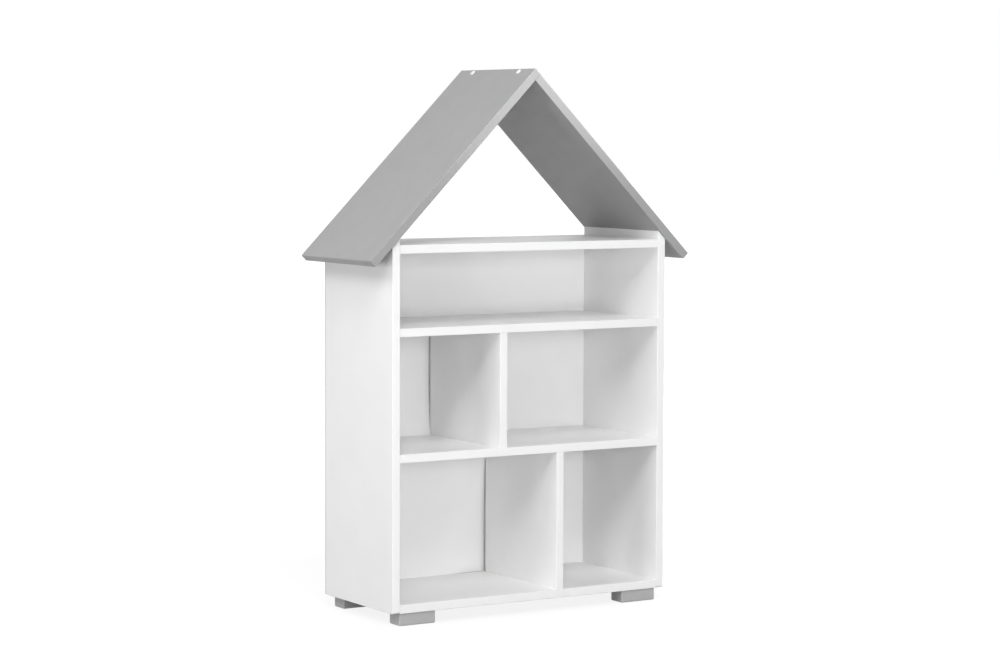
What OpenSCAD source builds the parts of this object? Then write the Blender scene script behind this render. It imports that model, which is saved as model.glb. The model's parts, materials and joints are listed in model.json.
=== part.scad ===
// House shaped bookcase for a child's room: a white shelf body with five compartments on four
// block feet, under a grey pitched roof of two boards with an open gable.
// The origin is on the floor, in the middle of the overall width and depth.
// X runs to the right, Y to the back and Z up. Sizes are in millimetres.

/* [Shelf body] */
// Clear width between the two side panels
inner_w = 650; // [560:1:900]
// Depth of the boards, from their front edges to the back panel
depth = 294; // [250:1:400]
// Thickness of every board
board_t = 18; // [16:0.5:22]
// Clear height of the bottom row of compartments
bottom_row_h = 298; // [200:1:400]
// Clear height of the middle row of compartments
middle_row_h = 245; // [200:1:400]
// Clear height of the undivided top row
top_row_h = 155; // [120:1:300]
// Clear width of the narrow compartment beside each divider
narrow_w = 244; // [150:1:260]
// Rounding along the front edges of the boards
edge_r = 1; // [0.5:0.5:3]
// Rounding of the lower corners of the side panels
side_corner_r = 5; // [1:0.5:15]

/* [Back panel] */
// Thickness of the hardboard back panel
back_t = 3; // [2:0.5:6]
// Set-in of the back panel from the outer edges of the shelf body
back_inset = 1; // [0:0.5:4]
// How far the loose part of the back panel bows out in the bottom row
bow_bottom = 8; // [1:0.5:14]
// How far the loose part of the back panel bows out in the middle row
bow_middle = 6; // [1:0.5:14]

/* [Roof] */
// Level reach of the eaves past the side panels, on the underside
eaves_out = 44; // [20:1:80]
// Reach of the roof in front of the shelf body
roof_front = 8; // [0:1:30]
// Rounding along the edges of the roof boards
roof_edge_r = 1; // [0.5:0.5:3]
// Rounding of the roof boards' lower ends
eaves_r = 3; // [1:0.5:6]

/* [Feet] */
// Width of a foot
foot_w = 87; // [75:1:130]
// Depth of a foot
foot_d = 43; // [30:1:50]
// Height of a foot
foot_h = 27; // [20:1:60]
// Gap between a foot and the plane of the side panel's inner face
foot_side_gap = 1; // [0:0.5:20]
// Set-back of the feet from the front and rear edges of the boards
foot_setback = 4; // [0:0.5:6]
// Rounding of the upright and lower edges of a foot
foot_edge_r = 3; // [0.5:0.5:8]

/* [Cam fittings and dowels] */
// Distance of the first fixing from the front and rear edges of the boards
fix_inset = 60; // [58:1:70]
// Distance from a cam fitting to the dowel beside it
dowel_step = 32; // [24:1:40]
// Diameter of a cam lock
cam_d = 15; // [12:0.5:16]
// Distance from a board's end to the centre of its cam lock
cam_in = 34; // [24:1:40]
// Height of a cam lock above the middle of its board
cam_over = 4; // [3.5:0.25:5]
// Diameter of a cam bolt's shank
bolt_d = 6; // [5:0.25:6.5]
// Diameter of a cam bolt's thread
bolt_thread_d = 5; // [4:0.25:6]
// Length of a cam bolt's thread, inside the side panel
bolt_thread_l = 11; // [8:0.5:13]
// Diameter of a dowel
dowel_d = 8; // [6:0.5:8]
// Length of a dowel
dowel_l = 30; // [26:1:36]
// Length of a dowel that goes into the face of a board
dowel_in = 12; // [8:0.5:13]
// Diameter of a dowel between a side panel and the roof
eaves_dowel_d = 6; // [4:0.5:6]
// Length of a dowel between a side panel and the roof
eaves_dowel_l = 22; // [16:1:22]
// Distance of these dowels from the outer edge of the slanted top, along the slope
eaves_dowel_edge = 7; // [6:0.25:8]
// Distance of these dowels from the front and rear edges of the side panel
eaves_inset = 30; // [20:1:40]

/* [Screws and nails] */
// Diameter of the long screws in the dividers and the ridge
screw_d = 7; // [5:0.25:7]
// Length of the long screws
screw_l = 50; // [40:1:60]
// Head diameter of the long screws
screw_head_d = 10; // [9:0.5:12]
// Distance of the ridge screws from the ends of the ridge
ridge_inset = 58; // [40:1:80]
// Diameter of the caps over the ridge screws
cap_d = 12; // [12:0.5:15]
// Height of the caps above the roof board
cap_h = 1.5; // [1:0.25:3]
// Diameter of the foot screws
foot_screw_d = 4; // [3:0.25:5]
// Distance between the two screws of a foot
foot_screw_step = 50; // [30:1:56]
// Depth of the sunk holes for the heads of the foot screws
foot_screw_sink = 12; // [8:0.5:14]
// Length of a foot screw inside the bottom panel
foot_screw_bite = 13; // [8:0.5:14]
// Diameter of the back panel's nails
nail_d = 1.6; // [1:0.1:2.5]
// Length of the back panel's nails
nail_l = 20; // [15:1:25]
// Head diameter of the back panel's nails
nail_head_d = 4; // [3:0.5:6]
// Largest distance between two nails up a side panel
nail_step_z = 120; // [80:1:200]
// Largest distance between two nails along a level board
nail_step_x = 130; // [80:1:200]

/* [Hidden] */
$fn = 32;

// Clearances: on the diameter of a hole, at its blind end, and the overrun of a cut
fit = 0.2;
end_gap = 1;
over = 1;

// Fixed details of the fittings
bolt_neck_d = 3.5;
bolt_head_d = 6.4;
bolt_head_l = 3;
bolt_thread_depth = 0.6;
bolt_thread_pitch = 1.8;
cam_cross_l = 8;
cam_cross_w = 1.6;
cam_cross_depth = 2.5;
dowel_chamfer = 1;
screw_rim = 0.8;
screw_head_h = 3.5;
screw_thread_depth = 0.9;
screw_thread_pitch = 3;
screw_plain_l = 20;
screw_tip_l = 4;
socket_flat = 4;
socket_depth = 3;
cap_peg_l = 2.5;
cap_rim_h = 0.6;
foot_screw_head_d = 8;
foot_screw_head_h = 2.5;
nail_head_t = 0.8;
nail_tip_l = 3;
nail_margin = 30;

// Levels: the underside of each level board, and the top of the shelf body
bottom_z = foot_h;
middle_z = bottom_z + board_t + bottom_row_h;
upper_z = middle_z + board_t + middle_row_h;
top_z = upper_z + board_t + top_row_h;
body_top = top_z + board_t;
board_zs = [bottom_z, middle_z, upper_z, top_z];

// Width and depth: the outer half width, the roof's depth, and the planes of the boards' edges
half_w = inner_w / 2 + board_t;
roof_d = roof_front + depth + back_t;
roof_y = -(roof_d + max(bow_bottom, bow_middle)) / 2;
front_y = roof_y + roof_front;
mid_y = front_y + depth / 2;
back_y = front_y + depth;

// The roof slopes at 45 degrees, so that its two boards meet squarely at the ridge.
// Its underside touches the outer top edge of both side panels.
slope = 45;
ridge_z = body_top + half_w * tan(slope) + board_t / cos(slope);
slope_l = (half_w + eaves_out) / cos(slope) + board_t * tan(slope);
bevel_x = half_w / cos(slope) + board_t * tan(slope);

// The dividers: one narrow compartment at the left of the middle row and one at the right of
// the bottom row
divider_x = inner_w / 2 - narrow_w - board_t / 2;
upper_divider_x = -divider_x;
lower_divider_x = divider_x;

// Rows of fixings along the depth
function rows(inset) = [front_y + inset, back_y - inset];
cam_ys = rows(fix_inset);
dowel_ys = rows(fix_inset + dowel_step);
eaves_ys = rows(eaves_inset);
ridge_ys = [roof_y + ridge_inset, roof_y + roof_d - ridge_inset];
ridge_dowel_ys = [ridge_ys[0] + dowel_step, ridge_ys[1] - dowel_step];

// ---- the bowed back panel ----

// The hardboard is nailed where it lies flat and bows out where it is loose: behind the lower
// divider down to the bottom edge, and behind the upper divider.
back_w = 2 * (half_w - back_inset);
back_low = bottom_z + back_inset;
back_high = body_top - back_inset;

// The bowed sheet is drawn as a net of cells that are about this long and wide
bow_cell = 40;
bow_cells_x = round(back_w / bow_cell);
bow_cells_z = round((back_high - back_low) / bow_cell);

// A smooth hump: 1 in the middle, 0 from s = 1 outwards
function hump(s) = abs(s) >= 1 ? 0 : pow(1 - pow(s, 4), 2);

// The bottom hump is centred right of the lower divider and in the lower third of its row, so
// that it reaches the panel's bottom edge. It ends at the middle shelf.
low_hump_shift = 38;
low_hump_level = 0.31;
low_hump_half_w = 150;
low_hump_x = lower_divider_x + low_hump_shift;
low_hump_z = bottom_z + bottom_row_h * low_hump_level;
low_hump_half_h = middle_z - low_hump_z;

// The middle hump is centred just right of the upper divider and a little above the middle of
// its row. It starts at the middle shelf.
mid_hump_shift = 12;
mid_hump_level = 0.55;
mid_hump_half_w = 220;
mid_hump_x = upper_divider_x + mid_hump_shift;
mid_hump_half_h = middle_row_h * mid_hump_level;
mid_hump_z = middle_z + board_t + mid_hump_half_h;

// How far the back panel stands off the rear edges of the boards at a point
function bow_at(x, z) =
    bow_bottom * hump((x - low_hump_x) / low_hump_half_w) * hump((z - low_hump_z) / low_hump_half_h)
    + bow_middle * hump((x - mid_hump_x) / mid_hump_half_w) * hump((z - mid_hump_z) / mid_hump_half_h);

// Evenly spaced places between two ends, no further apart than step
function spread(low, high, step) =
    let (n = ceil((high - low) / step))
    [for (i = [0:n]) low + (high - low) * i / n];

nail_zs = spread(bottom_z + nail_margin, body_top - nail_margin, nail_step_z);
nail_xs = spread(nail_margin - inner_w / 2, inner_w / 2 - nail_margin, nail_step_x);
nail_bow_limit = 0.15;

// Nails into a side panel, and into the level board whose underside is at z
function side_nails(side) = [for (z = nail_zs) [side * (half_w - board_t / 2), z]];
function board_nails(z) =
    [for (x = nail_xs) if (bow_at(x, z + board_t / 2) < nail_bow_limit) [x, z + board_t / 2]];

// ---- outlines and small parts ----

// A w by h rectangle whose two corners on the line y = 0 are rounded
module rounded_end(w, h, r) {
    translate([0, r]) square([w, h - r]);
    translate([r, 0]) square([w - 2 * r, h]);
    for (x = [r, w - r]) translate([x, r]) circle(r);
}

// A w by h rectangle with four rounded corners
module rounded_rect(w, h, r) {
    intersection() {
        rounded_end(w, h, r);
        translate([0, h]) mirror([0, 1]) rounded_end(w, h, r);
    }
}

// A dowel along Z with chamfered ends, of which the length into lies above z = 0
module dowel(d, l, into) {
    low = into - l;
    rotate_extrude() polygon([
        [0, low],
        [d / 2 - dowel_chamfer, low],
        [d / 2, low + dowel_chamfer],
        [d / 2, into - dowel_chamfer],
        [d / 2 - dowel_chamfer, into],
        [0, into]]);
}

module dowel_hole(d, l, into) {
    translate([0, 0, into - l - end_gap]) cylinder(d = d + fit, h = l + 2 * end_gap);
}

// The profile points of a ringed thread that starts at z = from and runs down a length l
function thread(d, depth, pitch, from, l) =
    let (n = floor(l / pitch))
    [for (i = [0:n - 1]) each [[d / 2 - depth, from - i * pitch], [d / 2, from - (i + 0.5) * pitch]]];

// A long screw that points down, with a countersunk head flush with z = 0 and a hex socket
module long_screw() {
    difference() {
        rotate_extrude() polygon(concat(
            [[0, 0], [screw_head_d / 2, 0], [screw_head_d / 2, -screw_rim], [screw_d / 2, -screw_head_h],
             [screw_d / 2, -screw_plain_l]],
            thread(screw_d, screw_thread_depth, screw_thread_pitch, -screw_plain_l,
                screw_l - screw_plain_l - screw_tip_l),
            [[screw_d / 2 - screw_thread_depth, screw_tip_l - screw_l], [0, -screw_l]]));
        translate([0, 0, -socket_depth])
            cylinder(d = socket_flat / cos(30), h = socket_depth + over, $fn = 6);
    }
}

module long_screw_hole() {
    head_r = (screw_head_d + fit) / 2;
    hole_r = (screw_d + fit) / 2;
    rotate_extrude() polygon([
        [0, over], [head_r, over], [head_r, -screw_rim], [hole_r, -screw_head_h],
        [hole_r, -screw_l - end_gap], [0, -screw_l - end_gap]]);
}

// ---- places: each of these modules puts its children at every fixing of one kind ----

// At the ends of the level boards. Z points out of the board's end, into the side panel, and X
// points down.
module at_board_ends(ys, sides = [-1, 1], zs = board_zs) {
    for (side = sides, z = zs, y = ys)
        translate([side * inner_w / 2, y, z + board_t / 2])
            rotate([0, 90, side > 0 ? 0 : 180])
                children();
}

// Under the lower end of a divider at x, on the underside of its board. Z points down.
module at_divider_foot(x, z) {
    for (y = cam_ys) translate([x, y, z]) rotate([180, 0, 0]) children();
}

// On the upper end of a divider at x, under the board above it. Z points up.
module at_divider_top(x, z) {
    for (y = dowel_ys) translate([x, y, z]) children();
}

// The frame of a roof board: X runs down the slope from the ridge and Z points out of the roof
module on_right_slope() {
    translate([0, 0, ridge_z]) rotate([0, slope, 0]) children();
}

module on_left_slope() {
    mirror([1, 0, 0]) on_right_slope() children();
}

// In a roof board's frame: on its outer face over the middle of the other board's end, and on
// its underside over the slanted top of the side panel
module at_ridge(ys, z) {
    for (y = ys) translate([board_t / 2, y, z]) children();
}

module at_eaves() {
    for (y = eaves_ys) translate([bevel_x - eaves_dowel_edge, y, -board_t]) children();
}

module at_foot_screws(side, end) {
    for (step = [-0.5, 0.5])
        translate([foot_x(side) + step * foot_screw_step, foot_y(end), 0])
            children();
}

module at_nails(points) {
    for (p = points) translate([p[0], back_y + back_t, p[1]]) rotate([-90, 0, 0]) children();
}

function foot_x(side) = side * (inner_w / 2 - foot_side_gap - foot_w / 2);
function foot_y(end) = mid_y + end * (depth / 2 - foot_setback - foot_d / 2);

// ---- holes ----

// The bolt's hole in a side panel, seen from the board's end
module bolt_hole() {
    translate([0, 0, -over]) cylinder(d = bolt_thread_d + fit, h = bolt_thread_l + end_gap + over);
}

// The bolt's hole in the board's end and the round pocket for the cam lock in its underside
module cam_pocket() {
    translate([0, 0, -cam_in]) cylinder(d = bolt_head_d + fit, h = cam_in + over);
    translate([board_t / 2 + over, 0, -cam_in]) rotate([0, -90, 0])
        cylinder(d = cam_d + fit, h = board_t / 2 + cam_over + end_gap / 2 + over);
}

module nail_holes(points) {
    at_nails(points) translate([0, 0, -nail_l - end_gap])
        cylinder(d = nail_d + fit, h = nail_l + end_gap + over);
}

// ---- boards ----

// An upright board from z = 0 up, with its front edges on y = 0 rounded
module board(l) {
    linear_extrude(l) rounded_end(board_t, depth, edge_r);
}

module level_board(z) {
    difference() {
        translate([-inner_w / 2, front_y, z + board_t]) rotate([0, 90, 0]) board(inner_w);
        at_board_ends(cam_ys, zs = [z]) cam_pocket();
        at_board_ends(dowel_ys, zs = [z]) dowel_hole(dowel_d, dowel_l, dowel_in);
        nail_holes(board_nails(z));
    }
}

// A side panel: a board with rounded lower corners, cut off under the roof
module side_panel(side) {
    panel_h = body_top - bottom_z + board_t * tan(slope);
    difference() {
        intersection() {
            translate([side > 0 ? inner_w / 2 : -half_w, front_y, bottom_z]) board(panel_h);
            translate([-half_w, front_y, bottom_z]) rotate([90, 0, 90])
                linear_extrude(2 * half_w) rounded_end(depth, panel_h, side_corner_r);
        }
        slope_of(side) translate([0, roof_y, -board_t]) cube([slope_l, roof_d, 2 * board_t]);
        slope_of(side) at_eaves() eaves_hole();
        at_board_ends(cam_ys, [side]) bolt_hole();
        at_board_ends(dowel_ys, [side]) dowel_hole(dowel_d, dowel_l, dowel_in);
        nail_holes(side_nails(side));
    }
}

module slope_of(side) {
    if (side > 0) on_right_slope() children();
    else on_left_slope() children();
}

module eaves_hole() {
    dowel_hole(eaves_dowel_d, eaves_dowel_l, eaves_dowel_l / 2);
}

// A roof board in the frame of its slope, from start down to the eaves. Its long edges and its
// lower end are rounded, and so is its end at the ridge where round_both is set.
module roof_board(start, round_both) {
    l = slope_l - start;
    difference() {
        intersection() {
            translate([start, roof_y, -board_t]) rotate([90, 0, 90])
                linear_extrude(l) rounded_rect(roof_d, board_t, roof_edge_r);
            translate([slope_l, roof_y + roof_d, -board_t]) rotate([90, 0, 0])
                linear_extrude(roof_d) rotate(90) roof_outline(l, round_both);
        }
        at_eaves() eaves_hole();
    }
}

// The lengthwise outline of a roof board, with its lower end on the line y = 0
module roof_outline(l, round_both) {
    if (round_both) intersection() {
        rounded_end(board_t, l, eaves_r);
        translate([0, l]) mirror([0, 1]) rounded_end(board_t, l, roof_edge_r);
    }
    else rounded_end(board_t, l, eaves_r);
}

module ridge_holes() {
    on_left_slope() {
        at_ridge(ridge_ys, 0) long_screw_hole();
        at_ridge(ridge_dowel_ys, -board_t) dowel_hole(dowel_d, dowel_l, dowel_in);
    }
}

// ---- nodes: the boards ----

module side_left() {
    color("white") side_panel(-1);
}

module side_right() {
    color("white") side_panel(1);
}

module top_panel() {
    color("white") level_board(top_z);
}

module upper_shelf() {
    color("white") difference() {
        level_board(upper_z);
        at_divider_top(upper_divider_x, upper_z) dowel_hole(dowel_d, dowel_l, dowel_in);
    }
}

module middle_shelf() {
    color("white") difference() {
        level_board(middle_z);
        at_divider_top(lower_divider_x, middle_z) dowel_hole(dowel_d, dowel_l, dowel_in);
        at_divider_foot(upper_divider_x, middle_z) long_screw_hole();
    }
}

module bottom_panel() {
    color("white") difference() {
        level_board(bottom_z);
        at_divider_foot(lower_divider_x, bottom_z) long_screw_hole();
        for (side = [-1, 1], end = [-1, 1]) at_foot_screws(side, end) foot_screw_hole();
    }
}

module divider(x, low_z, h) {
    color("whitesmoke") difference() {
        translate([x - board_t / 2, front_y, low_z + board_t]) board(h);
        at_divider_foot(x, low_z) long_screw_hole();
        at_divider_top(x, low_z + board_t + h) dowel_hole(dowel_d, dowel_l, dowel_in);
    }
}

module upper_divider() {
    divider(upper_divider_x, middle_z, middle_row_h);
}

module lower_divider() {
    divider(lower_divider_x, bottom_z, bottom_row_h);
}

module back_panel() {
    nx = bow_cells_x;
    nz = bow_cells_z;
    row = nx + 1;
    sheet = row * (nz + 1);
    points = [for (layer = [0, back_t], j = [0:nz], i = [0:nx])
        let (
            x = back_w * (i / nx - 0.5),
            z = back_low + (back_high - back_low) * j / nz
        )
        [x, back_y + layer + bow_at(x, z), z]];
    front = [for (j = [0:nz - 1], i = [0:nx - 1])
        let (a = j * row + i)
        each [[a, a + row, a + row + 1], [a, a + row + 1, a + 1]]];
    rear = [for (f = front) [f[2] + sheet, f[1] + sheet, f[0] + sheet]];
    // The border runs round the sheet: along the bottom, up, back along the top and down
    border = concat(
        [for (i = [0:nx - 1]) i],
        [for (j = [0:nz - 1]) j * row + nx],
        [for (i = [nx:-1:1]) nz * row + i],
        [for (j = [nz:-1:1]) j * row]);
    rim = [for (k = [0:len(border) - 1])
        let (a = border[k], b = border[(k + 1) % len(border)])
        each [[a, b, b + sheet], [a, b + sheet, a + sheet]]];
    color("ghostwhite") difference() {
        polyhedron(points, concat(front, rear, rim));
        for (side = [-1, 1]) nail_holes(side_nails(side));
        for (z = board_zs) nail_holes(board_nails(z));
    }
}

module roof_left() {
    color("darkgray") difference() {
        on_left_slope() roof_board(0, true);
        ridge_holes();
    }
}

module roof_right() {
    color("darkgray") difference() {
        on_right_slope() roof_board(board_t, false);
        ridge_holes();
    }
}

// ---- nodes: the feet ----

// A block with rounded upright and lower edges, from the origin up
module foot_block() {
    intersection() {
        linear_extrude(foot_h) rounded_rect(foot_w, foot_d, foot_edge_r);
        translate([0, foot_d, 0]) rotate([90, 0, 0])
            linear_extrude(foot_d) rounded_end(foot_w, foot_h, foot_edge_r);
        rotate([90, 0, 90]) linear_extrude(foot_w) rounded_end(foot_d, foot_h, foot_edge_r);
    }
}

module foot(side, end) {
    color("gray") difference() {
        translate([foot_x(side) - foot_w / 2, foot_y(end) - foot_d / 2, 0]) foot_block();
        at_foot_screws(side, end) foot_screw_hole();
    }
}

module foot_screw_hole() {
    translate([0, 0, -over])
        cylinder(d = foot_screw_head_d + 2 * end_gap, h = foot_screw_sink + over);
    cylinder(d = foot_screw_d + fit, h = foot_h + foot_screw_bite + end_gap);
}

module foot_front_left() {
    foot(-1, -1);
}

module foot_front_right() {
    foot(1, -1);
}

module foot_rear_left() {
    foot(-1, 1);
}

module foot_rear_right() {
    foot(1, 1);
}

// ---- nodes: the fixings ----

// A cam bolt: a thread in the side panel, a shank in the board and a necked head in the cam
module cam_bolt() {
    neck_z = bolt_head_l / 2 - cam_in;
    shank_z = cam_d / 2 - cam_in;
    rotate_extrude() polygon(concat(
        [[0, bolt_thread_l]],
        thread(bolt_thread_d, bolt_thread_depth, bolt_thread_pitch, bolt_thread_l, bolt_thread_l),
        [[bolt_thread_d / 2, 0], [bolt_d / 2, 0], [bolt_d / 2, shank_z], [bolt_neck_d / 2, shank_z],
         [bolt_neck_d / 2, neck_z], [bolt_head_d / 2 - fit, neck_z],
         [bolt_head_d / 2 - fit, neck_z - bolt_head_l], [0, neck_z - bolt_head_l]]));
}

// A cam lock: a round body with a cross slot in its face and an opening for the bolt's head
module cam_lock() {
    cam_h = board_t / 2 + cam_over;
    translate([0, 0, -cam_in]) difference() {
        translate([board_t / 2, 0, 0]) rotate([0, -90, 0]) cylinder(d = cam_d, h = cam_h);
        translate([0, 0, -bolt_head_l]) cylinder(d = bolt_head_d, h = cam_d + bolt_head_l);
        for (turn = [0, 90])
            translate([board_t / 2, 0, 0]) rotate([turn, 0, 0])
                cube([2 * cam_cross_depth, cam_cross_w, cam_cross_l], center = true);
    }
}

module cam_bolts() {
    color("silver") at_board_ends(cam_ys) cam_bolt();
}

module cam_locks() {
    color("lightgray") at_board_ends(cam_ys) cam_lock();
}

module shelf_dowels() {
    color("burlywood") at_board_ends(dowel_ys) dowel(dowel_d, dowel_l, dowel_in);
}

module divider_screws() {
    color("silver") {
        at_divider_foot(upper_divider_x, middle_z) long_screw();
        at_divider_foot(lower_divider_x, bottom_z) long_screw();
    }
}

module divider_dowels() {
    color("burlywood") {
        at_divider_top(upper_divider_x, upper_z) dowel(dowel_d, dowel_l, dowel_in);
        at_divider_top(lower_divider_x, middle_z) dowel(dowel_d, dowel_l, dowel_in);
    }
}

module ridge_screws() {
    color("silver") on_left_slope() at_ridge(ridge_ys, 0) long_screw();
}

// A round cap on the roof board, with a peg in the screw's hex socket
module ridge_cap() {
    rotate_extrude() polygon([
        [0, 0],
        [cap_d / 2, 0],
        [cap_d / 2, cap_rim_h],
        [cap_d / 2 - cap_h + cap_rim_h, cap_h],
        [0, cap_h]]);
    translate([0, 0, -cap_peg_l]) cylinder(d = socket_flat / cos(30) - fit, h = cap_peg_l, $fn = 6);
}

module ridge_caps() {
    color("white") on_left_slope() at_ridge(ridge_ys, 0) ridge_cap();
}

module ridge_dowels() {
    color("burlywood") on_left_slope()
        at_ridge(ridge_dowel_ys, -board_t) dowel(dowel_d, dowel_l, dowel_in);
}

module eaves_dowels() {
    color("burlywood") for (side = [-1, 1])
        slope_of(side) at_eaves() dowel(eaves_dowel_d, eaves_dowel_l, eaves_dowel_l / 2);
}

module foot_screw() {
    head_z = foot_screw_sink - foot_screw_head_h;
    end_z = foot_h + foot_screw_bite;
    r = foot_screw_d / 2;
    rotate_extrude() polygon([
        [0, head_z],
        [foot_screw_head_d / 2, head_z],
        [foot_screw_head_d / 2, foot_screw_sink],
        [r, foot_screw_sink],
        [r, end_z - foot_screw_d],
        [0, end_z]]);
}

module foot_screws() {
    color("silver") for (side = [-1, 1], end = [-1, 1]) at_foot_screws(side, end) foot_screw();
}

// A nail that points into the boards, with its flat head on the back panel
module nail() {
    rotate_extrude() polygon([
        [0, nail_head_t],
        [nail_head_d / 2, nail_head_t],
        [nail_head_d / 2, 0],
        [nail_d / 2, 0],
        [nail_d / 2, nail_tip_l - nail_l],
        [0, -nail_l]]);
}

module back_nails() {
    color("silver") {
        for (side = [-1, 1]) at_nails(side_nails(side)) nail();
        for (z = board_zs) at_nails(board_nails(z)) nail();
    }
}

side_left();
side_right();
top_panel();
upper_shelf();
middle_shelf();
bottom_panel();
upper_divider();
lower_divider();
back_panel();
roof_left();
roof_right();
foot_front_left();
foot_front_right();
foot_rear_left();
foot_rear_right();
cam_bolts();
cam_locks();
shelf_dowels();
divider_screws();
divider_dowels();
ridge_screws();
ridge_caps();
ridge_dowels();
eaves_dowels();
foot_screws();
back_nails();
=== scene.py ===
# %% [markdown]
# # A house shaped bookcase, dressed for its portrait
# The bookcase is a flat-pack piece of children's furniture: eight white boards, two grey roof boards, four
# block feet, a thin hardboard back and about a hundred small fixings. Its construction comes packed from
# the CAD step and is loaded here as a fixed frame. This script gives every board its rounded edges,
# drilled holes and lacquer, and sets up the camera and the studio.

# %% Load the construction
import json
import math

import bpy
from mathutils import Matrix, Vector


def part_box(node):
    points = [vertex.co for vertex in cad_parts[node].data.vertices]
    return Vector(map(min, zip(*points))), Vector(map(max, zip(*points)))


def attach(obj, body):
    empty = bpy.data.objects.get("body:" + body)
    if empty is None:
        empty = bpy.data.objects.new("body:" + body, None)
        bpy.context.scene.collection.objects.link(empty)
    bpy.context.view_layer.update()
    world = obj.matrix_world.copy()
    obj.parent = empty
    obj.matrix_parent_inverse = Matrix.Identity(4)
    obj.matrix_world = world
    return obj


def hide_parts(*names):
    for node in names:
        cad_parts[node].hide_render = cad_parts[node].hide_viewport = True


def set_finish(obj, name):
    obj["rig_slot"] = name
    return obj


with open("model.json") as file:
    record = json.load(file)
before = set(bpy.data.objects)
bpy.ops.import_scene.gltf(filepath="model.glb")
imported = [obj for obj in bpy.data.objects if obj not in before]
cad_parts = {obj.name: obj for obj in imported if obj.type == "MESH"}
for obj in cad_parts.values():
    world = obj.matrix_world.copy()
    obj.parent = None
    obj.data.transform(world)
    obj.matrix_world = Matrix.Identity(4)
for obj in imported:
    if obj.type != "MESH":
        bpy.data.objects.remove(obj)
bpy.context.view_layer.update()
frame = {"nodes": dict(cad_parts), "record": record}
nodes = frame["nodes"]
print("Nodes in the frame:", len(nodes))

# %% [markdown]
# ## Units and the record
# Blender works in metres, and a furniture maker thinks in millimetres, so lengths are written as a number
# of MM. The record that came with the frame says which finish each piece takes. Reading it from there
# keeps the two in step, and nothing has to be typed twice.

# %% Units and finishes per piece
MM = 0.001
slot_of = {part["node"]: part["material_slot"] for part in frame["record"]["subparts"]}
print("Finishes:", sorted(set(slot_of.values())))

# %% [markdown]
# ## The camera
# The picture was taken from a few metres away with a long lens, a little above the top board, from the
# left of the front. A camera can be placed by eye, but here its place was worked out from the corners of
# the boards in the picture, so it is written as a place, three turns and a focal length. The lens points
# down by a few degrees and leans by a fraction of one, and there is no shift and no depth of field.

# %% Place the camera
CAMERA_PLACE = (-3.170, -5.141, 1.0477)
CAMERA_YAW = math.radians(31.74)
CAMERA_PITCH = math.radians(4.30)
CAMERA_ROLL = math.radians(0.175)
LENS_MM = 100.1
SENSOR_MM = 36.0


def place_camera():
    """The camera of the picture, in its place and with its lens."""
    camera = bpy.data.objects.new("camera", bpy.data.cameras.new("camera"))
    bpy.context.scene.collection.objects.link(camera)
    camera.data.sensor_width = SENSOR_MM
    camera.data.lens = LENS_MM
    turn = Matrix.Rotation(-CAMERA_YAW, 4, "Z")
    tilt = Matrix.Rotation(math.pi / 2 - CAMERA_PITCH, 4, "X")
    lean = Matrix.Rotation(CAMERA_ROLL, 4, "Z")
    camera.matrix_world = Matrix.Translation(CAMERA_PLACE) @ turn @ tilt @ lean
    bpy.context.scene.camera = camera
    return camera


camera = place_camera()

# %% [markdown]
# ## Small tools for the workbench
# Blender's operators act on whatever is selected, and the loaded pieces are all selected, so each step
# starts by deselecting everything. An edge is chosen by its place, with a short test on its two ends,
# which is how one would pick it by hand in edit mode. The tools below are used by every piece.

# %% Selecting, adding and applying
TINY = 0.01 * MM


def only(piece):
    """Leaves one piece selected and active."""
    bpy.ops.object.select_all(action="DESELECT")
    piece.select_set(True)
    bpy.context.view_layer.objects.active = piece


def select_edges(piece, test):
    """Enters edit mode with those edges selected whose two ends pass the test."""
    only(piece)
    bpy.ops.object.mode_set(mode="EDIT")
    bpy.ops.mesh.select_mode(type="EDGE")
    bpy.ops.mesh.select_all(action="DESELECT")
    bpy.ops.object.mode_set(mode="OBJECT")
    ends = piece.data.vertices
    for edge in piece.data.edges:
        edge.select = test(*(ends[i].co for i in edge.vertices))
    bpy.ops.object.mode_set(mode="EDIT")


def apply_modifier(piece, kind, **settings):
    """Adds a modifier with these settings to a piece and applies it."""
    only(piece)
    modifier = piece.modifiers.new(kind.title(), kind)
    for name, value in settings.items():
        setattr(modifier, name, value)
    bpy.ops.object.modifier_apply(modifier=modifier.name)


def place(piece, matrix):
    """Moves a piece by a matrix and keeps its new place in its mesh."""
    only(piece)
    piece.matrix_world = matrix
    bpy.ops.object.transform_apply(location=True, rotation=True, scale=True)


def add_block(name, low, high):
    """A cube primitive, stretched to fill the box between two corners."""
    bpy.ops.object.select_all(action="DESELECT")
    bpy.ops.mesh.primitive_cube_add(size=1)
    block = bpy.context.object
    block.name = block.data.name = name
    size = Vector(high) - Vector(low)
    place(block, Matrix.Translation((Vector(low) + Vector(high)) / 2) @ Matrix.Diagonal((*size, 1)))
    return block


def corners(piece):
    """The lowest and highest corner of a piece whose place is in its mesh."""
    places = [v.co for v in piece.data.vertices]
    return (Vector(min(p[i] for p in places) for i in range(3)),
            Vector(max(p[i] for p in places) for i in range(3)))


# %% [markdown]
# ## Rounded edges
# No edge of real furniture is sharp. A router bit rounds the edges that hands meet, and sandpaper and
# lacquer ease the rest by a few tenths of a millimetre. These thin roundings catch the light and draw the
# outline of every board. The Bevel modifier can give each edge its own radius: it has one width, and a
# weight on each edge takes a share of it. So a rule says the radius of an edge from its two ends.

# %% Round the edges of a piece
ROUNDING_SEGMENTS = 4
SMOOTH_BELOW = math.radians(40)


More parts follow.
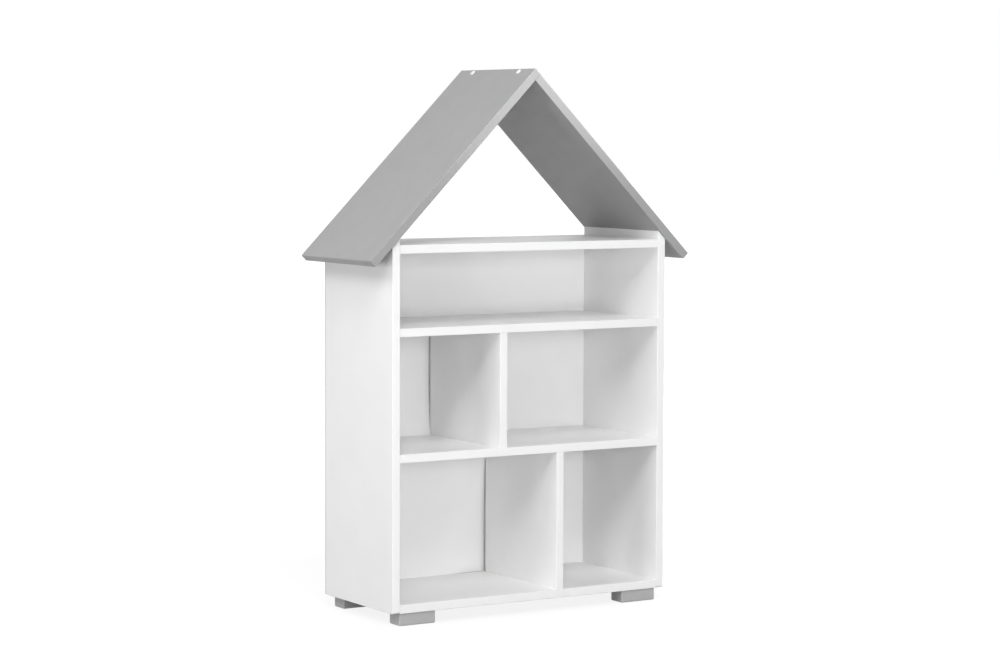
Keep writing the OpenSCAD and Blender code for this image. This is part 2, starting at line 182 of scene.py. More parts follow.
def round_edges(piece, radius_of):
    """Rounds each edge by the radius that radius_of(a, b) gives for its two ends, where 0 is sharp."""
    ends = piece.data.vertices
    radii = [radius_of(*(ends[i].co for i in edge.vertices)) for edge in piece.data.edges]
    widest = max(radii)
    weights = piece.data.attributes.new("bevel_weight_edge", "FLOAT", "EDGE")
    weights.data.foreach_set("value", [radius / widest for radius in radii])
    apply_modifier(piece, "BEVEL", width=widest, segments=ROUNDING_SEGMENTS, limit_method="WEIGHT")


def shade(piece):
    """Smooth roundings between faces that stay flat."""
    only(piece)
    bpy.ops.object.shade_smooth_by_angle(angle=SMOOTH_BELOW)
    apply_modifier(piece, "WEIGHTED_NORMAL", keep_sharp=True)


# %% [markdown]
# ## The seats of the fixings
# Every board of such a bookcase comes drilled: pockets for cam locks, bores for bolts and dowels, and
# countersinks for long screws. The holes could be drawn one by one, but each one has the shape of what
# sits in it. So each fixing is copied from the frame, wrapped in its convex hull, which fills its slots
# and threads, and grown by a tenth of a millimetre. The result is a set of cutters, and each board is cut
# with those that reach into it. Nails are left out, because a nail makes its own hole.

# %% Make the cutters
SEATED = ["cam_bolts", "cam_locks", "shelf_dowels", "divider_screws", "divider_dowels",
          "ridge_screws", "ridge_dowels", "eaves_dowels", "foot_screws"]
SEAT_CLEARANCE = 0.1 * MM


def loose_copies(node):
    """Copies of the separate solids in a CAD node, each as an object of its own."""
    copy = bpy.data.objects.new(node + "_cutter", nodes[node].data.copy())
    bpy.context.scene.collection.objects.link(copy)
    only(copy)
    bpy.ops.object.mode_set(mode="EDIT")
    bpy.ops.mesh.select_all(action="SELECT")
    bpy.ops.mesh.remove_doubles(threshold=TINY)
    bpy.ops.mesh.separate(type="LOOSE")
    bpy.ops.object.mode_set(mode="OBJECT")
    return list(bpy.context.selected_objects)


def wrap(solid):
    """Turns a copy of a fixing into a cutter for its seat."""
    only(solid)
    bpy.ops.object.mode_set(mode="EDIT")
    bpy.ops.mesh.select_all(action="SELECT")
    bpy.ops.mesh.convex_hull()
    bpy.ops.transform.shrink_fatten(value=SEAT_CLEARANCE)
    bpy.ops.object.mode_set(mode="OBJECT")
    return solid


cutters = [wrap(solid) for node in SEATED for solid in loose_copies(node)]
reach = {cutter.name: corners(cutter) for cutter in cutters}
print("Cutters:", len(cutters))

# %% [markdown]
# The heads of the foot screws are sunk deep into the feet, so that they don't scratch the floor. Each one
# gets a second cutter, a plain bore from below the foot up to its head.

# %% Sunk bores in the feet
FOOT_BORE_RADIUS = 5 * MM
FOOT_BORE_DEPTH = 12 * MM
FOOT_BORE_OVERRUN = 1 * MM
ROUND_SIDES = 48


def foot_bore(screw):
    """A bore below the head of a foot screw."""
    low, high = reach[screw.name]
    depth = FOOT_BORE_DEPTH + FOOT_BORE_OVERRUN
    bpy.ops.mesh.primitive_cylinder_add(
        vertices=ROUND_SIDES, radius=FOOT_BORE_RADIUS, depth=depth,
        location=((low.x + high.x) / 2, (low.y + high.y) / 2, FOOT_BORE_DEPTH - depth / 2))
    bore = bpy.context.object
    bore.name = "foot_bore"
    place(bore, bore.matrix_world.copy())
    return bore


bores = [foot_bore(cutter) for cutter in cutters if cutter.name.startswith("foot_screws")]
reach.update({bore.name: corners(bore) for bore in bores})
cutters += bores
print("Bores under the feet:", len(bores))

# %% [markdown]
# A board is cut by a Boolean modifier, which subtracts one object from another. The cutters that reach
# into a board are joined into one object first, so that each board needs a single cut.

# %% Drill a piece
def overlap(box, other):
    """Whether two boxes, each a lowest and a highest corner, share some space."""
    return all(box[0][i] < other[1][i] and other[0][i] < box[1][i] for i in range(3))


def drill(piece):
    """Cuts the seats of all the fixings that reach into a piece, and says how many there are."""
    box = corners(piece)
    near = [cutter for cutter in cutters if overlap(box, reach[cutter.name])]
    copies = [bpy.data.objects.new("cut", cutter.data.copy()) for cutter in near]
    bpy.ops.object.select_all(action="DESELECT")
    for copy in copies:
        bpy.context.scene.collection.objects.link(copy)
        copy.select_set(True)
    bpy.context.view_layer.objects.active = copies[0]
    bpy.ops.object.join()
    apply_modifier(piece, "BOOLEAN", operation="DIFFERENCE", solver="EXACT", object=copies[0])
    bpy.data.objects.remove(copies[0])
    print(piece.name, "has", len(copies), "seats")


# %% [markdown]
# ## Handing a piece over
# A new piece rides on the bookcase's one body, stands for the CAD node that it refines, and takes the
# finish that the record names for that node.

# %% Hand over
made = []


def hand_over(piece, node):
    """Lets a finished piece take the place of a CAD node."""
    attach(piece, "root")
    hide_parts(node)
    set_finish(piece, slot_of[node])
    made.append(piece)
    return piece


# %% [markdown]
# ## Level boards and dividers
# These boards are 18 mm fibre board under white lacquer. A board starts as a cube primitive that fills the
# board's box in the frame. Its long front edges are rounded by the router, its long rear edges are eased,
# and its ends stay square, because they butt against another board.

# %% Make the level boards and the dividers
FRONT_RADIUS = 1.0 * MM
EASED_RADIUS = 0.4 * MM
X_AXIS, Z_AXIS = 0, 2


def make_board(node, length_axis):
    """A straight board that is as long as its box along length_axis."""
    low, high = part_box(node)
    board = add_block(node + "_board", low, high)

    def radius_of(a, b):
        if abs((a - b)[length_axis]) < TINY:
            return 0
        return FRONT_RADIUS if a.y < low.y + TINY else EASED_RADIUS

    round_edges(board, radius_of)
    drill(board)
    shade(board)
    return hand_over(board, node)


level_boards = [make_board(node, X_AXIS)
                for node in ("top_panel", "upper_shelf", "middle_shelf", "bottom_panel")]
dividers = [make_board(node, Z_AXIS) for node in ("upper_divider", "lower_divider")]

# %% [markdown]
# ## Side panels
# A side panel is the same board standing upright, with two lower corners that are rounded a little more,
# and a top that is cut at 45 degrees, where the roof lies on it. The slanted cut is a bisect: a plane
# cuts the block, what lies outside is cleared, and the cut is filled. The lower corners are bevelled
# first, and the thinner rounding then runs round the outline.

# %% Make the side panels
CORNER_RADIUS = 5 * MM
CORNER_SEGMENTS = 8
ROOF_SLOPE = math.radians(45)


def make_side(node, side):
    """side is -1 on the left and 1 on the right."""
    low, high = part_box(node)
    panel = add_block(node + "_panel", low, high)
    outer_x = low.x if side < 0 else high.x
    cut_z = high.z - (high.x - low.x) * math.tan(ROOF_SLOPE)

    only(panel)
    bpy.ops.object.mode_set(mode="EDIT")
    bpy.ops.mesh.select_all(action="SELECT")
    bpy.ops.mesh.bisect(plane_co=(outer_x, 0, cut_z),
                        plane_no=(side * math.sin(ROOF_SLOPE), 0, math.cos(ROOF_SLOPE)),
                        use_fill=True, clear_outer=True)
    bpy.ops.object.mode_set(mode="OBJECT")

    def lower_corner(a, b):
        return max(a.z, b.z) < low.z + TINY and abs(a.x - b.x) > TINY

    select_edges(panel, lower_corner)
    bpy.ops.mesh.bevel(offset=CORNER_RADIUS, segments=CORNER_SEGMENTS, affect="EDGES")
    bpy.ops.object.mode_set(mode="OBJECT")

    def radius_of(a, b):
        if abs(a.x - b.x) > TINY:
            return 0
        if min(a.y, b.y) > high.y - TINY:
            return EASED_RADIUS
        if min(a.z, b.z) > cut_z - TINY:
            return 0
        return FRONT_RADIUS

    round_edges(panel, radius_of)
    drill(panel)
    shade(panel)
    return hand_over(panel, node)


sides = [make_side("side_left", -1), make_side("side_right", 1)]
print("Sides are", round((corners(sides[0])[1] - corners(sides[0])[0]).z / MM, 1), "mm high")

# %% [markdown]
# ## Roof boards
# The two roof boards meet at a right angle. The left one runs over the end of the right one, so the left
# one is longer by the thickness of a board, and the end of the right one stays square. Their lower ends,
# at the height of a child's head, are rounded more than their other edges. A tilted board is easiest to
# shape while it lies flat, with X down its slope from the ridge, and is turned into place afterwards. Its
# place comes from the frame: a rounded corner that points outward reaches a little less far than a sharp
# one, and that is added back.

# %% Make the roof boards
ROOF_RADIUS = 1 * MM
EAVES_RADIUS = 3 * MM
BOARD_T = 18 * MM


def lost_at_corner(radius):
    """How much less far a square corner that points outward reaches when it is rounded."""
    return radius * (math.sqrt(2) - 1)


roof_low, roof_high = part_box("roof_left")
ridge = Vector((0, (roof_low.y + roof_high.y) / 2, roof_high.z + lost_at_corner(ROOF_RADIUS)))
eaves_z = roof_low.z - lost_at_corner(EAVES_RADIUS)
roof_depth = roof_high.y - roof_low.y
slope_length = (ridge.z - eaves_z) / math.cos(ROOF_SLOPE) - BOARD_T
right_slope = Matrix.Translation(ridge) @ Matrix.Rotation(ROOF_SLOPE, 4, "Y")
left_slope = (Matrix.Translation(ridge) @ Matrix.Rotation(math.pi, 4, "Z")
              @ Matrix.Rotation(ROOF_SLOPE, 4, "Y"))


def make_roof_board(node, start, slope):
    """A roof board that starts this far from the ridge, on the slope of a matrix."""
    board = add_block(node + "_board", (start, -roof_depth / 2, -BOARD_T),
                      (slope_length, roof_depth / 2, 0))

    def radius_of(a, b):
        if min(a.x, b.x) > slope_length - TINY and abs(a.y - b.y) > TINY:
            return EAVES_RADIUS
        square_end = start > 0 and max(a.x, b.x) < start + TINY
        return 0 if square_end else ROOF_RADIUS

    round_edges(board, radius_of)
    place(board, slope)
    drill(board)
    shade(board)
    return hand_over(board, node)


roof_boards = [make_roof_board("roof_left", 0, left_slope),
               make_roof_board("roof_right", BOARD_T, right_slope)]
print([board.name for board in roof_boards], "end", round(slope_length / MM, 1), "mm from the ridge")

# %% [markdown]
# ## Feet
# A foot is a low block with rounded upright and lower edges, so that it doesn't splinter or scratch when
# the bookcase is pushed over a floor. Its top is square, where it meets the bottom panel.

# %% Make the feet
FOOT_RADIUS = 3 * MM


def make_foot(node):
    """A block foot, with its screw holes."""
    low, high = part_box(node)
    foot = add_block(node + "_block", low, high)

    def radius_of(a, b):
        return 0 if min(a.z, b.z) > high.z - TINY else FOOT_RADIUS

    round_edges(foot, radius_of)
    drill(foot)
    shade(foot)
    return hand_over(foot, node)


feet = [make_foot(f"foot_{end}_{side}") for end in ("front", "rear") for side in ("left", "right")]
print("Feet:", len(feet))

# %% [markdown]
# ## The back panel
# The back is a 3 mm sheet of hardboard, nailed to the rear edges of the boards. It is nailed to the sides
# and to the level boards where it lies flat, but not to the dividers, and there it has bowed out. The
# dark slots behind both dividers come from that bow. Bending a sheet by hand would call for proportional
# editing, but this bow has to be the one that the frame holds, so each point of a fine grid is moved by
# the same rule: one hump behind each divider.

# %% The rule of the bow
LOW_BOW = 8 * MM
LOW_HUMP_SHIFT = 38 * MM
LOW_HUMP_LEVEL = 0.31
LOW_HUMP_HALF_W = 150 * MM
MID_BOW = 6 * MM
MID_HUMP_SHIFT = 12 * MM
MID_HUMP_LEVEL = 0.55
MID_HUMP_HALF_W = 220 * MM


def middle_x(node):
    """The middle of a node's box from left to right."""
    low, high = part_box(node)
    return (low.x + high.x) / 2


def hump(s):
    """A smooth hump: 1 in the middle, and 0 from s = 1 outwards."""
    return max(0.0, 1 - s ** 4) ** 2


bottom_low, bottom_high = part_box("bottom_panel")
middle_low, middle_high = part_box("middle_shelf")
upper_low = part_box("upper_shelf")[0]
low_hump = Vector((middle_x("lower_divider") + LOW_HUMP_SHIFT, 0,
                   bottom_low.z + (middle_low.z - bottom_high.z) * LOW_HUMP_LEVEL))
low_hump_half_h = middle_low.z - low_hump.z
mid_hump_half_h = (upper_low.z - middle_high.z) * MID_HUMP_LEVEL
mid_hump = Vector((middle_x("upper_divider") + MID_HUMP_SHIFT, 0, middle_high.z + mid_hump_half_h))


def bow_at(x, z):
    """How far the sheet stands off its flat place at a point of it."""
    low = hump((x - low_hump.x) / LOW_HUMP_HALF_W) * hump((z - low_hump.z) / low_hump_half_h)
    mid = hump((x - mid_hump.x) / MID_HUMP_HALF_W) * hump((z - mid_hump.z) / mid_hump_half_h)
    return LOW_BOW * low + MID_BOW * mid


print("Bow behind the lower divider:", round(bow_at(middle_x("lower_divider"), low_hump.z) / MM, 1), "mm")

# %% [markdown]
# The sheet itself starts as a grid primitive, stretched over its box and stood upright. Cells of 8 mm are
# fine enough for the bow to look smooth. Solidify then gives it its thickness and closes its rim.

# %% Make the back panel
BACK_T = 3 * MM
BACK_CELL = 8 * MM


def make_back_panel():
    """The bowed sheet, with its thickness."""
    low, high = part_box("back_panel")
    width, height = high.x - low.x, high.z - low.z
    bpy.ops.object.select_all(action="DESELECT")
    bpy.ops.mesh.primitive_grid_add(x_subdivisions=round(width / BACK_CELL),
                                    y_subdivisions=round(height / BACK_CELL), size=1)
    sheet = bpy.context.object
    sheet.name = sheet.data.name = "back_panel_sheet"
    upright = Matrix.Rotation(math.pi / 2, 4, "X") @ Matrix.Diagonal((width, height, 1, 1))
    place(sheet, Matrix.Translation(((low.x + high.x) / 2, low.y, (low.z + high.z) / 2)) @ upright)
    for vertex in sheet.data.vertices:
        vertex.co.y += bow_at(vertex.co.x, vertex.co.z)
    apply_modifier(sheet, "SOLIDIFY", thickness=BACK_T, offset=-1, use_even_offset=True,
                   use_rim=True)
    shade(sheet)
    return hand_over(sheet, "back_panel")


back_sheet = make_back_panel()
print("Back panel faces:", len(back_sheet.data.polygons))

# %% [markdown]
# ## Ridge caps
# Two round plastic caps cover the screws beside the ridge. They are the only fixings that show, two white
# dots at the top of the roof. A cap starts as a flat cylinder. Its top face is inset and lifted in four
# steps, which makes a low dome, and its bottom face is inset and extruded into the peg that holds it in
# the screw's socket. The cap is made once, and the copy gets its own mesh.

# %% Make the ridge caps
CAP_RADIUS = 6 * MM
CAP_RIM = 0.7 * MM
CAP_STEPS = [(0.35 * MM, 0.35 * MM), (0.6 * MM, 0.25 * MM), (1.2 * MM, 0.15 * MM), (2.0 * MM, 0.05 * MM)]
PEG_INSET = 4.1 * MM
PEG_LENGTH = 2.4 * MM
FACES_ALONG = 0.9


def select_faces(piece, test):
    """Enters edit mode with those faces selected whose centre and normal pass the test."""
    only(piece)
    bpy.ops.object.mode_set(mode="EDIT")
    bpy.ops.mesh.select_mode(type="FACE")
    bpy.ops.mesh.select_all(action="DESELECT")
    bpy.ops.object.mode_set(mode="OBJECT")
    for face in piece.data.polygons:
        face.select = test(face.center, face.normal)
    bpy.ops.object.mode_set(mode="EDIT")


def make_cap():
    """A cap that stands on z = 0, with its peg below."""
    bpy.ops.object.select_all(action="DESELECT")
    bpy.ops.mesh.primitive_cylinder_add(vertices=ROUND_SIDES, radius=CAP_RADIUS, depth=CAP_RIM,
                                        location=(0, 0, CAP_RIM / 2))
    cap = bpy.context.object
    place(cap, cap.matrix_world.copy())
    select_faces(cap, lambda centre, normal: normal.z > FACES_ALONG)
    for inset, lift in CAP_STEPS:
        bpy.ops.mesh.inset(thickness=inset, depth=lift)
    bpy.ops.object.mode_set(mode="OBJECT")
    select_faces(cap, lambda centre, normal: normal.z < -FACES_ALONG)
    bpy.ops.mesh.inset(thickness=PEG_INSET)
    bpy.ops.mesh.extrude_region_move(TRANSFORM_OT_translate={"value": (0, 0, -PEG_LENGTH)})
    bpy.ops.object.mode_set(mode="OBJECT")
    shade(cap)
    return cap


def foot_of(solid, slope):
    """Where the axis of a fixing crosses the outer face of the roof board on a slope."""
    low, high = corners(solid)
    out = slope.to_3x3() @ Vector((0, 0, 1))
    centre = (low + high) / 2
    return centre - out * (centre - ridge).dot(out)


def make_ridge_caps():
    """Both caps in their places, joined into one piece."""
    first = make_cap()
    second = first.copy()
    second.data = first.data.copy()
    bpy.context.scene.collection.objects.link(second)
    screws = [cutter for cutter in cutters if cutter.name.startswith("ridge_screws")]
    for cap, screw in zip((first, second), screws):
        place(cap, Matrix.Translation(foot_of(screw, left_slope)) @ left_slope.to_3x3().to_4x4())
    only(first)
    second.select_set(True)
    bpy.ops.object.join()
    first.name = first.data.name = "ridge_cap_pair"
    return hand_over(first, "ridge_caps")


ridge_caps = make_ridge_caps()
print("Ridge caps at", [round(c / MM, 1) for c in corners(ridge_caps)[0]])

# %% [markdown]
# The last board is drilled, so the cutters have done their work. They aren't part of the bookcase and are
# removed before anything is rendered or counted.

# %% Put the cutters away
for cutter in cutters:
    bpy.data.objects.remove(cutter)
print("Pieces made:", len(made))

# %% [markdown]
# ## Finishes
# A finish is a small network of nodes round one shader. All patterns are procedural and read Object
# coordinates, which are metres in the bookcase's own frame, so a noise scale is simply how many grains
# fit in a metre. The helpers keep a network readable: a node is added with its inputs in one call.

# %% Node helpers
def new_finish(name):
    """A material with its node tree, its shader and the place of a point in metres."""
    material = bpy.data.materials.new(name)
    material.use_nodes = True
    tree = material.node_tree
    shader = tree.nodes["Principled BSDF"]
    coordinates = tree.nodes.new("ShaderNodeTexCoord").outputs["Object"]
    return material, tree, shader, coordinates


def add_node(tree, kind, inputs, **settings):
    """Adds a node. An input is a number, a colour or another node's output."""
    node = tree.nodes.new(kind)
    for name, value in settings.items():
        setattr(node, name, value)
    for name, value in inputs.items():
        if isinstance(value, bpy.types.NodeSocket):
            tree.links.new(value, node.inputs[name])
        else:
            node.inputs[name].default_value = value
    return node


def noise(tree, vector, grain, detail=2.0, roughness=0.5):
    """Noise whose grains are about this long, in metres."""
    texture = add_node(tree, "ShaderNodeTexNoise",
                       {"Vector": vector, "Scale": 1 / grain, "Detail": detail, "Roughness": roughness})
    return texture.outputs["Fac"]


def between(tree, factor, low, high, start=0.3, end=0.7):
    """Runs from low to high while the factor runs from start to end."""
    if isinstance(low, tuple):
        ramp = tree.nodes.new("ShaderNodeValToRGB")
        tree.links.new(factor, ramp.inputs["Fac"])
        ramp.color_ramp.elements[0].position = start
        ramp.color_ramp.elements[1].position = end
        ramp.color_ramp.elements[0].color = (*low, 1)
        ramp.color_ramp.elements[1].color = (*high, 1)
        return ramp.outputs["Color"]
    return add_node(tree, "ShaderNodeMapRange",
                    {"Value": factor, "From Min": start, "From Max": end,
                     "To Min": low, "To Max": high}).outputs["Result"]


def bumps(tree, heights):
    """A normal from a list of (height, depth in metres), laid one over another."""
    normal = None
    for height, depth in heights:
        inputs = {"Height": height, "Distance": depth, "Strength": 1.0}
        if normal:
            inputs["Normal"] = normal
        normal = add_node(tree, "ShaderNodeBump", inputs).outputs["Normal"]
    return normal


def shades(colour, share):
    """A colour made a little darker and a little lighter."""
    return tuple(c * (1 - share) for c in colour), tuple(c * (1 + share) for c in colour)


# %% [markdown]
# ## Lacquer
# Sprayed lacquer is never quite even. Its colour clouds very slightly where the coat is thicker, its gloss
# varies from hand to hand, it dries with a fine skin like orange peel, and the board under it is flat only
# to a few hundredths of a millimetre. Each of these is one noise of its own size. White and grey differ
# in colour alone, so one function makes both.

# %% Lacquered boards
WHITE = (0.92, 0.92, 0.92)
GREY = (0.36, 0.36, 0.363)
FOOT_GREY = (0.46, 0.46, 0.464)
CLOUD_SIZE = 90 * MM
WIPE_SIZE = 35 * MM
PEEL_SIZE, PEEL_DEPTH = 1.6 * MM, 0.002 * MM
WAVE_SIZE, WAVE_DEPTH = 28 * MM, 0.015 * MM


def lacquer(name, colour, gloss, cloud=0.012, shine=0.5):
    """gloss is the lowest and highest roughness, and shine is how much the coat reflects."""
    material, tree, shader, place_in_m = new_finish(name)
    shader.inputs["Specular IOR Level"].default_value = shine
    clouds = noise(tree, place_in_m, CLOUD_SIZE, detail=3)
    tree.links.new(between(tree, clouds, *shades(colour, cloud)), shader.inputs["Base Color"])
    wiped = noise(tree, place_in_m, WIPE_SIZE)
    tree.links.new(between(tree, wiped, *gloss), shader.inputs["Roughness"])
    peel = noise(tree, place_in_m, PEEL_SIZE, detail=1)
    waves = noise(tree, place_in_m, WAVE_SIZE, detail=1)
    tree.links.new(bumps(tree, [(waves, WAVE_DEPTH), (peel, PEEL_DEPTH)]), shader.inputs["Normal"])
    return material


white_lacquer = lacquer("white_lacquer", WHITE, (0.34, 0.42))
grey_lacquer = lacquer("grey_lacquer", GREY, (0.40, 0.50), shine=0.35)
foot_lacquer = lacquer("foot_lacquer", FOOT_GREY, (0.45, 0.55), shine=0.35)
print("Lacquers:", white_lacquer.name, grey_lacquer.name, foot_lacquer.name)

# %% [markdown]
# ## Hardboard and bare board
# The front of the back panel has a thin roller coat of white. Its rear and its rim are bare: pressed
# brown wood fibres, matted together without a direction, with darker flecks of bark. The rear edges of
# the inner boards are bare too, because the sheet hides them. Their fibres are finer and paler, and they
# keep the light out of the slots where the sheet has bowed away from them.

# %% Coated and bare fibres
HARDBOARD_WHITE = (0.91, 0.91, 0.91)
SHEET_FIBRES = ((0.150, 0.085, 0.045), (0.260, 0.160, 0.090))
EDGE_FIBRES = ((0.200, 0.130, 0.075), (0.290, 0.200, 0.125))
SHEET_GRAIN, EDGE_GRAIN = 2.2 * MM, 1.4 * MM
FIBRE_DEPTH = 0.08 * MM
FIBRE_ROUGHNESS = 0.75
FLECK = (0.060, 0.035, 0.020)
FLECK_SIZE = 5 * MM
FLECK_STRENGTH = 0.8
FLECK_START, FLECK_FULL = 0.66, 0.74


def bare_fibres(name, colours, grain):
    """Pressed wood fibres between a dark and a light colour, about this long."""
    material, tree, shader, place_in_m = new_finish(name)
    fibres = noise(tree, place_in_m, grain, detail=6, roughness=0.75)
    pressed = between(tree, fibres, *colours)
    flecks = noise(tree, place_in_m, FLECK_SIZE, detail=4, roughness=0.6)
    mask = between(tree, flecks, 0.0, FLECK_STRENGTH, start=FLECK_START, end=FLECK_FULL)
    mixed = add_node(tree, "ShaderNodeMixRGB", {"Fac": mask, "Color1": pressed, "Color2": (*FLECK, 1)})
    tree.links.new(mixed.outputs["Color"], shader.inputs["Base Color"])
    shader.inputs["Roughness"].default_value = FIBRE_ROUGHNESS
    tree.links.new(bumps(tree, [(fibres, FIBRE_DEPTH)]), shader.inputs["Normal"])
    return material


coated_hardboard = lacquer("coated_hardboard", HARDBOARD_WHITE, (0.42, 0.52))
bare_hardboard = bare_fibres("bare_hardboard", SHEET_FIBRES, SHEET_GRAIN)
bare_board = bare_fibres("bare_board", EDGE_FIBRES, EDGE_GRAIN)
print("Hardboard and bare board:", coated_hardboard.name, bare_hardboard.name, bare_board.name)

# %% [markdown]
# ## Fixings
# The fixings hardly show, but they are there from below and behind. Screws, bolts and nails are steel under
# bright zinc, cam locks are cast and duller, dowels are raw beech with a grain along their length, and the
# ridge caps are smooth white plastic.

# %% Metal, wood and plastic
ZINC = (0.72, 0.73, 0.75)
CAST_ZINC = (0.55, 0.55, 0.57)
METAL_SPOTS = 3 * MM
METAL_SHADES = 0.08
METAL_DEPTH = 0.01 * MM
BEECH = ((0.52, 0.34, 0.19), (0.68, 0.48, 0.30))
BEECH_STRETCH = (0.15, 1, 1)
BEECH_GRAIN, BEECH_DEPTH = 0.8 * MM, 0.03 * MM
BEECH_ROUGHNESS = 0.65
PLASTIC_WHITE = (0.88, 0.88, 0.88)


def metal(name, colour, gloss, grain):
    """gloss is the lowest and highest roughness, and grain is the size of the unevenness."""
    material, tree, shader, place_in_m = new_finish(name)
    spots = noise(tree, place_in_m, METAL_SPOTS, detail=3)
    tree.links.new(between(tree, spots, *shades(colour, METAL_SHADES)), shader.inputs["Base Color"])
    tree.links.new(between(tree, spots, *gloss), shader.inputs["Roughness"])
    rough = noise(tree, place_in_m, grain)
    tree.links.new(bumps(tree, [(rough, METAL_DEPTH)]), shader.inputs["Normal"])
    shader.inputs["Metallic"].default_value = 1.0
    return material


def beech():
    """Raw beech, whose grain is drawn out along X, as the shelf dowels lie."""
    material, tree, shader, place_in_m = new_finish("raw_beech")
    stretched = add_node(tree, "ShaderNodeMapping", {"Vector": place_in_m, "Scale": BEECH_STRETCH})
    grain = noise(tree, stretched.outputs["Vector"], BEECH_GRAIN, detail=5, roughness=0.6)
    tree.links.new(between(tree, grain, *BEECH), shader.inputs["Base Color"])
    shader.inputs["Roughness"].default_value = BEECH_ROUGHNESS
    tree.links.new(bumps(tree, [(grain, BEECH_DEPTH)]), shader.inputs["Normal"])
    return material


finish_of = {
    "white_board": white_lacquer,
    "grey_board": grey_lacquer,
    "grey_foot": foot_lacquer,
    "white_hardboard": coated_hardboard,
    "zinc_plated_steel": metal("zinc_plating", ZINC, (0.22, 0.38), 0.5 * MM),
    "cast_zinc": metal("cast_zinc", CAST_ZINC, (0.42, 0.55), 0.9 * MM),
    "beech": beech(),
    "white_plastic": lacquer("white_plastic", PLASTIC_WHITE, (0.28, 0.34), cloud=0.004),
}
print("Finishes made:", len(finish_of))

# %% [markdown]
# Each piece takes the finish of its slot. The sheet of hardboard has a second one on its rear and its
# rim, and the inner boards have one on their rear edges.

# %% Lay the finishes on
FRONT_SHARE = 0.5
REAR_SHARE = 0.9


def leave_bare(piece, finish, test):
    """Gives the faces whose centre and normal pass the test a second, bare finish."""
    piece.data.materials.append(finish)
    select_faces(piece, test)
    piece.active_material_index = 1
    bpy.ops.object.material_slot_assign()
    bpy.ops.object.mode_set(mode="OBJECT")


for piece in made:
    piece.data.materials.append(finish_of[piece["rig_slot"]])
leave_bare(back_sheet, bare_hardboard, lambda centre, normal: normal.y > -FRONT_SHARE)
for board in level_boards + dividers:
    leave_bare(board, bare_board, lambda centre, normal: normal.y > REAR_SHARE)
for name, node in nodes.items():
    node.data.materials.clear()
    node.data.materials.append(finish_of[slot_of[name]])
print("Pieces with a finish:", len(made) + len(nodes))

# %% [markdown]
# ## The studio
# The picture has a plain white ground. The world is dark to all light, and plain white to what the camera,
# a reflection or glass sees of it, by the Light Path node. The floor does the same with most of itself.
# Round the bookcase, a share of it is its real shaded self, so that the bookcase keeps a faint shadow.
# That share fades out with the distance from the bookcase, so the floor has no far edge. Light meets a
# darker floor than the camera does, so that little of it bounces up under the roof.

# %% Floor and world
FLOOR_HALF = 40.0
FLOOR_SEEN = (0.60, 0.60, 0.60)
FLOOR_LIT = (0.25, 0.25, 0.25)
FLOOR_ROUGHNESS = 0.8
SHADED_SHARE = 0.25
SHADE_KEPT_TO = 0.7
SHADE_GONE_AT = 2.2
WHITE_GROUND = 1.15


def seen_directly(tree):
    """1 for rays from the camera, from a reflection or through glass, and 0 for light."""
    path = tree.nodes.new("ShaderNodeLightPath").outputs
    either = add_node(tree, "ShaderNodeMath", {0: path["Is Camera Ray"], 1: path["Is Glossy Ray"]},
                      operation="MAXIMUM")
    return add_node(tree, "ShaderNodeMath",
                    {0: either.outputs[0], 1: path["Is Transmission Ray"]},
                    operation="MAXIMUM").outputs[0]


def make_floor():
    """A plane that is white far off, and keeps a share of its shadow round the bookcase."""
    bpy.ops.object.select_all(action="DESELECT")
    bpy.ops.mesh.primitive_plane_add(size=2 * FLOOR_HALF)
    floor = bpy.context.object
    floor.name = floor.data.name = "floor"
    place(floor, floor.matrix_world.copy())
    material, tree, shader, place_in_m = new_finish("pale_floor")
    seen = seen_directly(tree)
    colour = add_node(tree, "ShaderNodeMixRGB",
                      {"Fac": seen, "Color1": (*FLOOR_LIT, 1), "Color2": (*FLOOR_SEEN, 1)})
    tree.links.new(colour.outputs["Color"], shader.inputs["Base Color"])
    shader.inputs["Roughness"].default_value = FLOOR_ROUGHNESS
    shader.inputs["Specular IOR Level"].default_value = 0.0
    glow = add_node(tree, "ShaderNodeEmission", {"Color": (1, 1, 1, 1), "Strength": WHITE_GROUND})
    away = add_node(tree, "ShaderNodeVectorMath", {0: place_in_m}, operation="LENGTH")
    white = add_node(tree, "ShaderNodeMapRange",
                     {"Value": away.outputs["Value"], "From Min": SHADE_KEPT_TO, "From Max": SHADE_GONE_AT,
                      "To Min": 1 - SHADED_SHARE, "To Max": 1.0})
    share = add_node(tree, "ShaderNodeMath", {0: seen, 1: white.outputs["Result"]},
                     operation="MULTIPLY")
    mix = add_node(tree, "ShaderNodeMixShader",
                   {0: share.outputs[0], 1: shader.outputs[0], 2: glow.outputs[0]})
    tree.links.new(mix.outputs[0], tree.nodes["Material Output"].inputs["Surface"])
    floor.data.materials.append(material)
    return floor


def make_world():
    """Plain white to see, and dark as a light."""
    world = bpy.data.worlds.new("studio")
    bpy.context.scene.world = world
    world.use_nodes = True
    tree = world.node_tree
    tree.nodes.clear()
    ground = add_node(tree, "ShaderNodeBackground",
                      {"Color": (1, 1, 1, 1), "Strength": seen_directly(tree)})
    output = tree.nodes.new("ShaderNodeOutputWorld")
    tree.links.new(ground.outputs[0], output.inputs["Surface"])


floor = make_floor()
make_world()
print("Ground and surroundings:", floor.name, "and", bpy.context.scene.world.name)

# %% [markdown]
# ## Lamps
# Soft boxes are area lamps: the larger the lamp, the softer the shadow. Most of the light comes softly from
# the front and from high on the left, so the fronts are the brightest faces, the shelves and the left faces
# are bright too, and the underside of the right roof board stays dark. Little of it comes from beside the
# camera, because that light would reach into the slots at the back. The right and the rear box are there
# for the sides that the picture doesn't show. Each lamp is written as its place, its size and its power,
# and all of them face the middle of the bookcase.

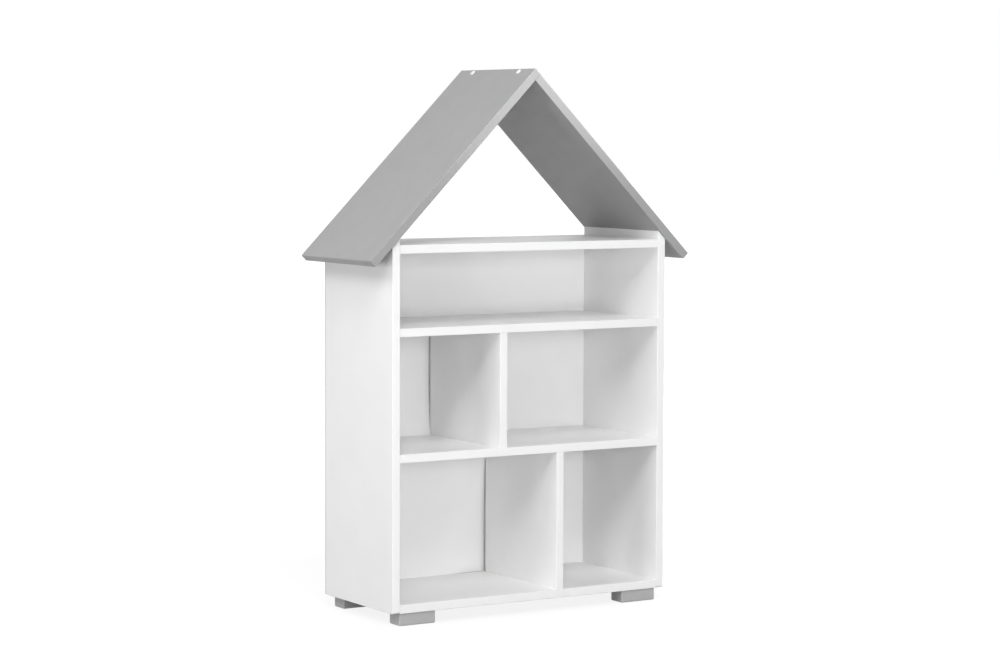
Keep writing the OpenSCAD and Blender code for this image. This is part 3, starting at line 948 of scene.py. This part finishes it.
# %% Set up the lamps
AIM = (0, 0, 0.55)
LAMPS = {
    "front_far_box": ((-0.6, -7.0, 1.0), 2.0, 158),
    "front_high_box": ((-1.6, -3.4, 4.2), 2.0, 126),
    "front_low_box": ((0.4, -4.2, 0.5), 1.2, 9),
    "camera_box": ((-3.0, -5.2, 1.3), 1.0, 18),
    "camera_low_box": ((-4.4, -3.4, 0.6), 1.2, 28),
    "camera_high_box": ((-3.2, -3.4, 4.2), 2.0, 26),
    "left_high_box": ((-4.0, -0.2, 3.6), 2.0, 85),
    "left_low_box": ((-3.2, -0.6, 0.6), 1.0, 21),
    "right_box": ((3.2, 0.4, 2.4), 1.8, 88),
    "rear_box": ((1.2, 3.8, 1.1), 2.0, 80),
}


def hang(light, where, aim):
    """Puts a light in its place, turns it to its aim and hides it from the camera."""
    lamp = bpy.data.objects.new(light.name, light)
    lamp.location = where
    lamp.rotation_euler = (Vector(aim) - Vector(where)).to_track_quat("-Z", "Y").to_euler()
    lamp.visible_camera = False
    bpy.context.scene.collection.objects.link(lamp)
    return lamp


def add_box(name, where, size, power):
    """A square soft box that faces the bookcase."""
    light = bpy.data.lights.new(name, "AREA")
    light.shape = "SQUARE"
    light.size = size
    light.energy = power
    return hang(light, where, AIM)


lamps = [add_box(name, *settings) for name, settings in LAMPS.items()]
print("Soft boxes:", [lamp.name for lamp in lamps])

# %% [markdown]
# The front edges of the roof grow lighter towards the ridge. A spotlight straight in front does that: its
# soft round beam ends just above the white boards, and it only grazes the sloping faces of the roof.

# %% Set up the ridge spot
SPOT_PLACE = (0.25, -6.0, 1.3)
SPOT_AIM = (0, -0.17, 1.34)
SPOT_RADIUS_AT_AIM = 0.53
SPOT_POWER = 930
SPOT_SOFTNESS = 1.0
SPOT_BULB_RADIUS = 0.1


def add_spot():
    """The spotlight on the front edges of the roof."""
    distance = (Vector(SPOT_AIM) - Vector(SPOT_PLACE)).length
    light = bpy.data.lights.new("ridge_spot", "SPOT")
    light.spot_size = 2 * math.atan(SPOT_RADIUS_AT_AIM / distance)
    light.spot_blend = SPOT_SOFTNESS
    light.shadow_soft_size = SPOT_BULB_RADIUS
    light.energy = SPOT_POWER
    return hang(light, SPOT_PLACE, SPOT_AIM)


lamps.append(add_spot())
print("Spot angle in degrees:", round(math.degrees(lamps[-1].data.spot_size), 1))

# %% [markdown]
# Seen at a flat angle from behind, the roof would mirror the strong lamps in front of it and turn white,
# and the top panel would mirror the rear box in the picture. So these lamps give light but no reflection.

# %% Keep lamps out of reflections
UNREFLECTED = ("front_far_box", "front_high_box", "front_low_box", "camera_box", "ridge_spot",
               "rear_box")
for lamp in lamps:
    lamp.visible_glossy = lamp.name not in UNREFLECTED
print("Lamps without a reflection:", [lamp.name for lamp in lamps if not lamp.visible_glossy])

# %% [markdown]
# ## Last steps
# Colours are shown as they are, with the Standard view.

# %% Finish
bpy.context.scene.view_settings.view_transform = "Standard"
